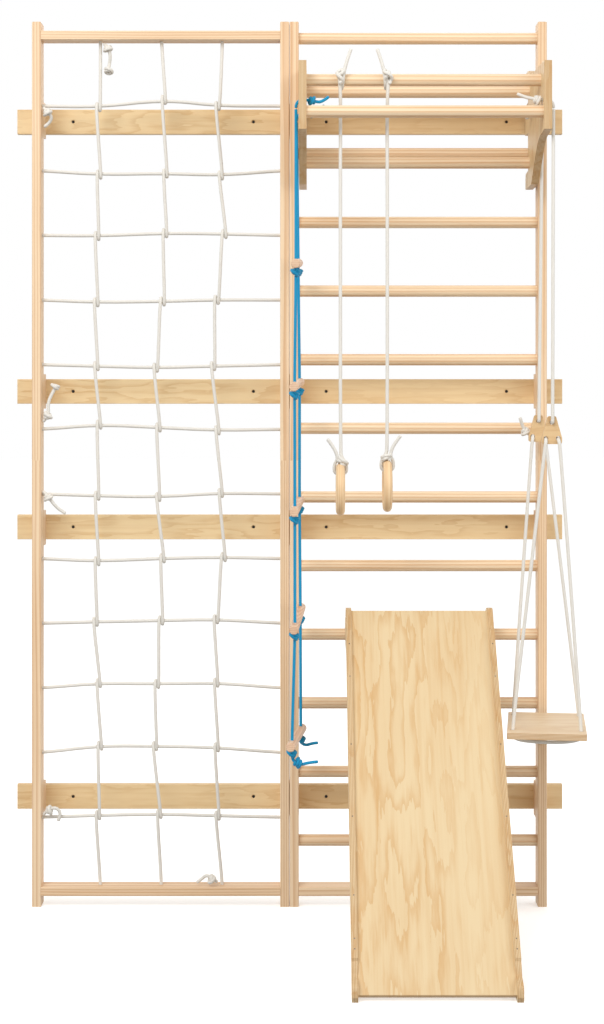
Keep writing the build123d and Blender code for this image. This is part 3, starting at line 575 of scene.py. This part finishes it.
# For each colour: the side, the knot's and the hanging rope's x, the rope, and the loose tails
# of the front and back rope, as steps away from the knot.
UNIT_ENDS = {
    "white": (1, 0.571, 0.606, ROPE_D, WHITE, (
        [(0.047, 0.006, 0.015), (0.030, 0.008, 0.008), (0.012, 0.003, 0.004)],
        [(0.036, -0.010, 0.003), (0.023, -0.007, -0.002), (0.011, -0.003, 0.002)],
    )),
    "blue": (-1, 0.052, 0.018, BLUE_ROPE_D, BLUE, (
        [(0.041, 0.008, 0.009), (0.025, 0.007, -0.004), (0.010, 0.003, -0.003)],
        [(0.032, 0.012, 0.021), (0.021, 0.008, 0.012), (0.010, 0.003, 0.004)],
    )),
}


def unit_rope_ends():
    """Knotted ends inside the pull-up unit's side plates, each through a hole and down."""
    for hue, (side, knot_x, hang_x, thick, material, tails) in UNIT_ENDS.items():
        for row, y, tail in zip(("front", "back"), CORD_YS, tails):
            route = [(knot_x - side * dx, y + dy, CORD_HOLE_Z + dz) for dx, dy, dz in tail]
            route += [
                (knot_x, y, CORD_HOLE_Z),
                (hang_x, y, CORD_HOLE_Z),
                (hang_x, y, CORD_HOLE_Z - CORD_DROP),
            ]
            stopper = ((knot_x - side * 0.002, y, CORD_HOLE_Z), {"turns": 2.0, "height": 0.012})
            rope(f"unit_rope_end_{hue}_{row}", f"unit_rope_ends_{hue}", "pull_up_unit",
                 f"rope_{hue}", material, route, thick, [stopper])


SWING_X = 0.606
SEAT_CENTRE = (0.602, -0.170)
SEAT_YAW = math.radians(-7.0)
SEAT_HOLE = (0.078, 0.096)
SEAT_ROPE_HIGH_Z = 0.483            # where a seat rope turns straight down into its hole
SEAT_ROPE_LOW_Z = 0.452
SEAT_TAIL = [(-0.029, -0.006, 0.045), (-0.024, 0.000, 0.029), (-0.015, 0.004, 0.012)]
ADJUSTER_XS = (0.604, 0.598)        # front and back adjuster
ADJUSTER_TOP_HOLE_Z = 1.182
ADJUSTER_LOW_HOLE_Z = 1.145
ADJUSTER_LOW_HOLE_X = 0.014         # from an adjuster's middle to each of its lower holes
ADJUSTER_THROUGH = 0.026            # from in front of an adjuster to behind it


def seat_place(along_x, along_y):
    """A point on the turned swing seat, as drawing x and y."""
    turned = Euler((0, 0, SEAT_YAW)).to_matrix() @ Vector((along_x, along_y, 0))
    return SEAT_CENTRE[0] + turned.x, SEAT_CENTRE[1] + turned.y


def swing_ropes():
    """A hanger from the unit to each adjuster, and a rope from there round the seat and back."""
    hole_z = ADJUSTER_LOW_HOLE_Z
    for row, label, y, x in zip((-1, 1), ("front", "back"), CORD_YS, ADJUSTER_XS):
        behind_y = y + ADJUSTER_THROUGH
        left_hole, right_hole = x - ADJUSTER_LOW_HOLE_X, x + ADJUSTER_LOW_HOLE_X
        hanger = [
            (SWING_X, y, HANG_TOP_Z),
            (x, y, ADJUSTER_TOP_HOLE_Z + 0.032),
            (x + 0.0003, y, ADJUSTER_TOP_HOLE_Z + 0.002),
            (x, y + 0.003, ADJUSTER_TOP_HOLE_Z - 0.001),
            (x, behind_y, ADJUSTER_TOP_HOLE_Z),
        ]
        rope(f"swing_hanger_{label}", "swing_ropes", "swing", "rope_white", WHITE,
             hanger, ROPE_D)
        left_x, left_y = seat_place(-SEAT_HOLE[0], row * SEAT_HOLE[1])
        right_x, right_y = seat_place(SEAT_HOLE[0], row * SEAT_HOLE[1])
        tail = [(left_hole + dx, behind_y + dy, hole_z + dz) for dx, dy, dz in SEAT_TAIL]
        route = (tail if row > 0 else []) + [
            (left_hole, behind_y, hole_z),
            (left_hole, y, hole_z),
            (left_hole - 0.004, y, hole_z - 0.026),
            (left_x, left_y, SEAT_ROPE_HIGH_Z),
            (left_x, left_y, SEAT_ROPE_LOW_Z),
            (right_x, right_y, SEAT_ROPE_LOW_Z),
            (right_x, right_y, SEAT_ROPE_HIGH_Z),
            (right_hole + 0.004, y, hole_z - 0.026),
            (right_hole, y, hole_z),
            (right_hole, behind_y, hole_z),
        ]
        knots = [(tail[2], {"turns": 1.9, "height": 0.012})] if row > 0 else []
        rope(f"swing_seat_rope_{label}", "swing_ropes", "swing", "rope_white", WHITE,
             route, ROPE_D, knots)


LADDER_X = 0.018
STEP_ABOVE = 0.0185                 # from a step's middle to the rope's points above and below
STEP_BELOW = 0.0245
STEP_KNOT_BELOW = 0.021
LADDER_SIDES = {                    # y, the steps' places (x, z), and the loose tail
    "front": (
        CORD_YS[0],
        [(0.0180, 1.5450), (0.0150, 1.2645), (0.0155, 0.9805), (0.0155, 0.7145), (0.0090, 0.4455)],
        [(0.003, -0.004, -0.012), (0.018, -0.008, -0.020), (0.038, -0.010, -0.014),
         (0.059, -0.010, -0.012)],
    ),
    "back": (
        CORD_YS[1],
        [(0.0220, 1.5600), (0.0250, 1.2735), (0.0250, 0.9905), (0.0270, 0.7295), (0.0280, 0.4415)],
        [(0.003, 0.003, -0.008), (0.014, 0.005, -0.012), (0.028, 0.006, -0.007),
         (0.041, 0.005, -0.006)],
    ),
}


def ladder_ropes():
    """Two ropes down through the steps, with a knot under each step and a loose tail."""
    for label, (y, places, tail) in LADDER_SIDES.items():
        route, knots = [(LADDER_X, y, HANG_TOP_Z)], []
        for i, (x, z) in enumerate(places):
            # A hair to each side, so that no three points of the CAD route lie in one line.
            route += [(x, y + 0.0003 * (-1) ** i, z + STEP_ABOVE), (x, y, z - STEP_BELOW)]
            knots.append((
                (x, y, z - STEP_KNOT_BELOW),
                {"turns": 2.4, "height": 0.012, "girth": 1.0, "up": (0.45, 0, 1)},
            ))
        low_x, low_y, low_z = route[-1]
        route += [(low_x + dx, low_y + dy, low_z + dz) for dx, dy, dz in tail]
        if label == "front":         # its last knot is a double one
            knots.append((
                route[-3],
                {"turns": 2.2, "height": 0.014, "girth": 1.0, "shift": (-0.004, 0, 0.003),
                 "up": (1, 0, -0.5)},
            ))
        rope(f"ladder_rope_{label}", "rope_ladder_ropes", "rope_ladder", "rope_blue", BLUE,
             route, BLUE_ROPE_D, knots)


net_ropes()
tie_off_ropes()
ring_rope("ring_rope_left", "left_ring", 0.120, 1.087, 1)
ring_rope("ring_rope_right", "right_ring", 0.228, 1.095, -1)
unit_rope_ends()
swing_ropes()
ladder_ropes()


# ---------------------------------------------------------------- wall screws
WALL_HOLE_XS = (0.090, 0.537)
SCREW_PROFILE = [                   # (radius, depth behind the board's front), round the axis
    (0.0, 0.0034), (0.0013, 0.0032), (0.0016, 0.0020), (0.0036, 0.0021), (0.0037, 0.0023),
    (0.0026, 0.0040), (0.0026, 0.0165), (0.0, 0.0172),
]
SCREW_SIDES = 20


def wall_screws():
    """Countersunk screws in the wall boards' holes, all in one piece; their near-black colour is
    partly steel and partly painted shade for the holes' dark insides.
    """
    build = bmesh.new()
    boards = sorted(n for n in NODES if n.startswith("wall_board_"))
    for node in boards:
        low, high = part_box(node)
        side = -1 if "_net_" in node else 1
        for hole_x in WALL_HOLE_XS:
            centre = Vector((at(side * hole_x, 0, 0).x, low.y, (low.z + high.z) / 2))
            rings = []
            for radius, depth in SCREW_PROFILE:
                count = SCREW_SIDES if radius else 1
                turns = [2 * math.pi * k / count for k in range(count)]
                rings.append([
                    build.verts.new(centre + Vector(
                        (radius * math.cos(a), depth, radius * math.sin(a))))
                    for a in turns
                ])
            for inner, outer in zip(rings, rings[1:]):
                for k in range(SCREW_SIDES):
                    n = (k + 1) % SCREW_SIDES
                    corners = [inner[k % len(inner)], inner[n % len(inner)],
                               outer[n % len(outer)], outer[k % len(outer)]]
                    build.faces.new(list(dict.fromkeys(corners)))
    bmesh.ops.recalc_face_normals(build, faces=build.faces)
    mesh = bpy.data.meshes.new("wall_screws")
    build.to_mesh(mesh)
    build.free()
    shader = Shader("dark_screw_steel_painted_hole_shade", Metallic=0.7)
    place = shader.add("TexCoord").outputs["Object"]
    wear = shader.noise(place, 700.0, detail=3.0)
    # Near-black tones: partly the screws' steel, partly painted shade standing in for the shade
    # inside the holes.
    colour = shader.blend(wear, tone(34, 31, 29), tone(66, 60, 55))
    roughness = shader.math("MULTIPLY_ADD", wear, 0.2, 0.45)
    mesh.materials.append(shader.finish(colour, roughness, wear, 0.0001))
    piece = bpy.data.objects.new("wall_screws", mesh)
    bpy.context.scene.collection.objects.link(piece)
    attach(piece, "root")


wall_screws()


# ---------------------------------------------------------------- finishes on the CAD parts
PINE = (tone(240, 212, 176), tone(206, 158, 112))
TURNED = (tone(243, 219, 184), tone(212, 162, 114))
BOARD = (tone(236, 208, 161), tone(206, 164, 109))
PLY = (tone(224, 200, 158), tone(204, 158, 99))
ADJUSTER = (tone(222, 188, 140), tone(192, 148, 98))
SEAT = (tone(227, 203, 168), tone(206, 168, 122))
RING = (tone(243, 213, 170), tone(212, 166, 116))
STEP = (tone(232, 199, 168), tone(198, 150, 116))


def paint(node, material):
    """Gives a CAD part a material through its object's slots, leaving its mesh alone."""
    part = NODES[node]
    for place in part.material_slots:
        place.link = "OBJECT"
        place.material = material


def low_and_size(node):
    """A CAD part's lowest corner and its size."""
    low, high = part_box(node)
    return low, high - low


def finish_frames():
    """Pine posts and rails, turned rungs, veneered wall boards and the steel that holds them."""
    for i, node in enumerate(sorted(n for n in NODES if "_post_" in n)):
        paint(node, wood(f"pine_{node}", *PINE, "Z", 100 + i, knots=0.10))
    for i, node in enumerate(("net_top_rail", "net_bottom_rail", "ladder_bottom_rail")):
        paint(node, wood(f"pine_{node}", *PINE, "X", 130 + i, knots=0.08))
    for i, node in enumerate(sorted(n for n in NODES if n.startswith("rung_"))):
        paint(node, wood(f"turned_{node}", *TURNED, "X", 150 + i, ring_gap=0.008, contrast=0.6,
                         knots=0.06))
    for i, node in enumerate(sorted(n for n in NODES if n.startswith("wall_board_"))):
        paint(node, wood(f"board_{node}", *BOARD, "X", 180 + i, contrast=0.4, knots=0.10,
                         veneer=(9.0, 0.6)))
    paint("spacer_blocks", wood("pine_blocks", *PINE, "Z", 201))
    paint("post_dowels", wood("dowels", *TURNED, "Z", 202))
    steel = steel_finish("steel_screw")
    paint("frame_screws", steel)
    paint("slide_screws", steel)


def finish_unit():
    """Plywood side plates and turned bars of the pull-up unit."""
    for i, side in enumerate(("left", "right")):
        node = f"unit_plate_{side}"
        low, size = low_and_size(node)
        paint(node, wood(f"ply_{node}", *PLY, "Z", 220 + i, veneer=(10.0, 0.7),
                         plies=("X", low.x, size.x, 13)))
    for i, node in enumerate(sorted(n for n in NODES if n.startswith("unit_bar_"))):
        paint(node, wood(f"turned_{node}", *TURNED, "X", 230 + i, ring_gap=0.009, contrast=0.6,
                         knots=0.05))


def finish_hanging():
    """Rings, swing seat, rope adjusters and ladder steps."""
    for i, side in enumerate(("left", "right")):
        low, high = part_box(f"ring_{side}")
        paint(f"ring_{side}", wood(f"ring_wood_{side}", *RING, "X", 250 + i, ring_gap=0.004,
                                   ring_centre=(low + high) / 2))
    low, size = low_and_size("swing_seat")
    paint("swing_seat", wood("ply_seat", *SEAT, "X", 260, contrast=0.3, veneer=(7.0, 0.8),
                             plies=("Z", low.z, size.z, 11)))
    paint("swing_adjusters", wood("ply_adjusters", *ADJUSTER, "X", 261, contrast=0.6,
                                  veneer=(6.0, 0.3)))
    paint("rope_ladder_steps", wood("turned_steps", *STEP, "Y", 262, ring_gap=0.004))


def finish_slide():
    """Plywood sliding board and rails, and pine battens."""
    surface = Euler((-SLOPE, 0, 0)).to_matrix() @ at(0, *SLIDE_FOOT)
    paint("slide_board", wood("ply_slide_board", *PLY, "slope", 270, contrast=0.47,
                              veneer=(10.0, 1.0),
                              plies=("slope", surface.z - SLIDE_BOARD_THICK,
                                     SLIDE_BOARD_THICK, 9)))
    for i, side in enumerate(("left", "right")):
        node = f"slide_rail_{side}"
        low, size = low_and_size(node)
        paint(node, wood(f"ply_{node}", *PLY, "slope", 280 + i, veneer=(10.0, 0.7),
                         plies=("X", low.x, size.x, 9)))
    paint("slide_battens", wood("pine_battens", *PINE, "X", 290))


finish_frames()
finish_unit()
finish_hanging()
finish_slide()


# ---------------------------------------------------------------- stage, lights and camera
FLOOR_SIZE = 60.0
CAMERA_PLACE = (0.050, -4.350, 1.2466)   # in the drawing
CAMERA_LENS = 62.93
CAMERA_SHIFT = (-0.0078, -0.1152)


def make_floor():
    """A plain pale floor."""
    build = bmesh.new()
    bmesh.ops.create_grid(build, x_segments=1, y_segments=1, size=FLOOR_SIZE / 2)
    mesh = bpy.data.meshes.new("floor")
    build.to_mesh(mesh)
    build.free()
    shader = Shader("floor", Specular_IOR_Level=0.1, Emission_Color=(1, 1, 1, 1),
                    Emission_Strength=0.42)
    place = shader.add("TexCoord").outputs["Object"]
    speckle = shader.noise(place, 3.0, detail=3.0)
    colour = shader.blend(speckle, tone(248, 247, 245), tone(243, 242, 240))
    mesh.materials.append(shader.finish(colour, 0.8, speckle, 0.0002))
    floor = bpy.data.objects.new("floor", mesh)
    bpy.context.scene.collection.objects.link(floor)
    floor.visible_diffuse = False    # the studio's darker lower half lights the undersides


def area_light(name, place, aim, size, watts):
    """A soft square lamp that looks at a point and is itself unseen."""
    data = bpy.data.lights.new(name, "AREA")
    data.shape = "SQUARE"
    data.size = size
    data.energy = watts
    lamp = bpy.data.objects.new(name, data)
    lamp.location = place
    lamp.rotation_euler = (Vector(place) - Vector(aim)).to_track_quat("Z", "Y").to_euler()
    lamp.visible_camera = False
    bpy.context.scene.collection.objects.link(lamp)


def make_light():
    """Three soft lamps in a white studio."""
    middle = (cad_box[0] + cad_box[1]) / 2
    area_light("key", middle + Vector((-1.8, -3.4, 3.4)), middle, 2.4, 142)
    area_light("fill", middle + Vector((3.2, -2.4, 1.2)), middle, 3.0, 46)
    area_light("behind", middle + Vector((0.4, 3.4, 2.6)), middle, 3.0, 30)
    world = bpy.data.worlds.new("studio")
    world.use_nodes = True
    nodes, links = world.node_tree.nodes, world.node_tree.links
    direction = nodes.new("ShaderNodeTexCoord").outputs["Generated"]
    split = nodes.new("ShaderNodeSeparateXYZ")
    links.new(direction, split.inputs[0])
    rise = nodes.new("ShaderNodeMapRange")
    rise.inputs[1].default_value, rise.inputs[2].default_value = -1.0, 1.0
    links.new(split.outputs[2], rise.inputs[0])
    ramp = nodes.new("ShaderNodeValToRGB")
    links.new(rise.outputs[0], ramp.inputs[0])
    stops = ramp.color_ramp.elements
    stops[0].position, stops[1].position = 0.0, 1.0
    for height in (0.40, 0.48, 0.66, 0.78):
        stops.new(height)
    # From straight down to straight up: dim below, white round the horizon, softer overhead.
    for stop, grey in zip(stops, (0.30, 0.34, 1.0, 1.0, 0.62, 0.55)):
        stop.color = (grey, grey, grey, 1.0)
    links.new(ramp.outputs[0], nodes["Background"].inputs["Color"])
    nodes["Background"].inputs["Strength"].default_value = 1.0
    bpy.context.scene.world = world
    bpy.context.scene.view_settings.view_transform = "Standard"


def make_camera():
    """A level camera, whose shift frames the object."""
    data = bpy.data.cameras.new("camera")
    data.sensor_fit = "AUTO"
    data.sensor_width = 36.0
    data.lens = CAMERA_LENS
    data.shift_x, data.shift_y = CAMERA_SHIFT
    camera = bpy.data.objects.new("camera", data)
    camera.location = at(*CAMERA_PLACE)
    camera.rotation_euler = (math.pi / 2, 0, 0)
    bpy.context.scene.collection.objects.link(camera)
    bpy.context.scene.camera = camera


make_floor()
make_light()
make_camera()
